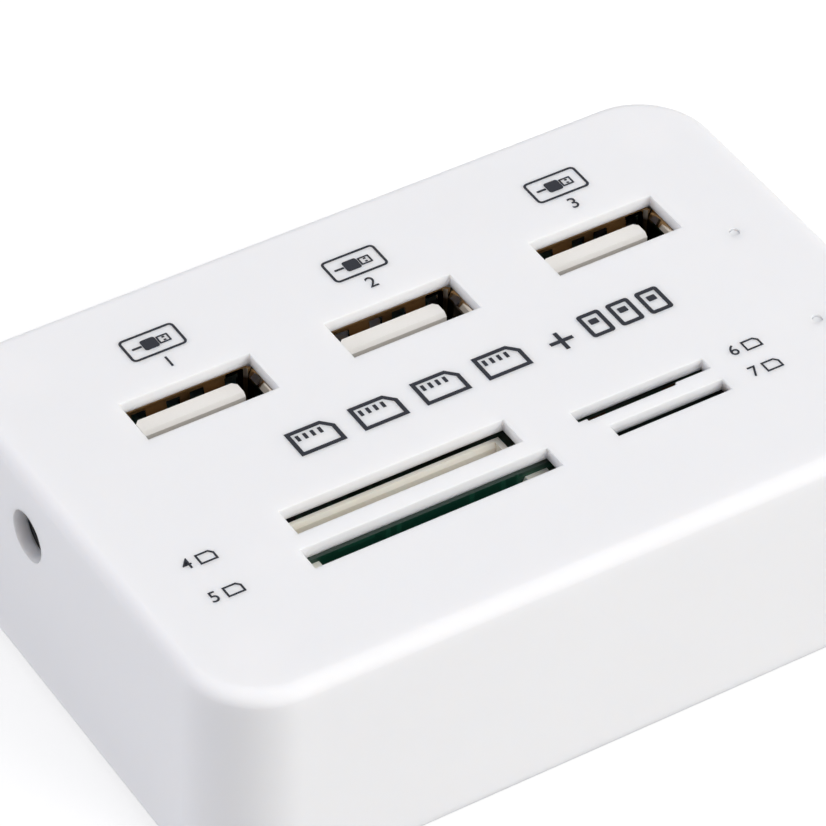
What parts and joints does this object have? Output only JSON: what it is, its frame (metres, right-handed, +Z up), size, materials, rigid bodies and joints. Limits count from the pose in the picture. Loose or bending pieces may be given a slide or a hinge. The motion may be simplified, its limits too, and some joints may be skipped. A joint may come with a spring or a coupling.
{
  "type": "usb hub card reader",
  "caption": "White rounded box with upright data ports and card slots in its top face, a power jack in the left wall and a data inlet in the back wall.",
  "frame": {"origin": "under the middle of the box, on the plane of its feet", "axes": "+X along the row of ports, to the right as the top is read; +Y to the back; +Z up"},
  "size_m": [0.078, 0.0514, 0.0238],
  "materials": {
    "cover_plastic": "satin moulded white",
    "foot_rubber": "matt black",
    "screw_steel": "zinc plated",
    "board_green": "solder-masked glass board",
    "chip_black": "moulded black",
    "lead_tin": "tinned",
    "can_metal": "plated lid",
    "lamp_white": "small lamp",
    "pipe_clear": "clear moulded",
    "shell_steel": "folded, tin plated",
    "port_plastic": "off-white moulded",
    "contact_gold": "gilt",
    "jack_black": "moulded black",
    "cream_plastic": "cream moulded",
    "socket_black": "moulded black",
    "socket_steel": "folded sheet",
    "print_ink": "pad-printed ink"
  },
  "bodies": {
    "root": {"board_capacitors": "chip_black", "board_header": "jack_black", "board_resistors": "chip_black", "bottom_cover": "cover_plastic", "card_board": "board_green", "case_screws": "screw_steel", "clock_crystal": "can_metal", "data_inlet_contacts": "contact_gold", "data_inlet_insulator": "jack_black", "data_inlet_shell": "shell_steel", "full_slot_contacts": "contact_gold", "full_slot_cover": "socket_steel", "full_slot_frame": "cream_plastic", "header_pins": "contact_gold", "hub_chip": "chip_black", "hub_chip_leads": "lead_tin", "lamp_1": "lamp_white", "lamp_2": "lamp_white", "light_pipe_1": "pipe_clear", "light_pipe_2": "pipe_clear", "main_board": "board_green", "micro_slot_contacts": "contact_gold", "micro_slot_cover": "socket_steel", "micro_slot_frame": "socket_black", "port_contacts_1": "contact_gold", "port_contacts_2": "contact_gold", "port_contacts_3": "contact_gold", "port_insulator_1": "port_plastic", "port_insulator_2": "port_plastic", "port_insulator_3": "port_plastic", "port_shell_1": "shell_steel", "port_shell_2": "shell_steel", "port_shell_3": "shell_steel", "power_jack_body": "jack_black", "power_jack_pin": "contact_gold", "power_jack_spring": "contact_gold", "reader_chip": "chip_black", "reader_chip_leads": "lead_tin", "rubber_foot_1": "foot_rubber", "rubber_foot_2": "foot_rubber", "rubber_foot_3": "foot_rubber", "rubber_foot_4": "foot_rubber", "small_stick_contacts": "contact_gold", "small_stick_cover": "socket_steel", "small_stick_frame": "socket_black", "stick_slot_contacts": "contact_gold", "stick_slot_housing": "cream_plastic", "top_cover": "cover_plastic"}
  },
  "joints": []
}
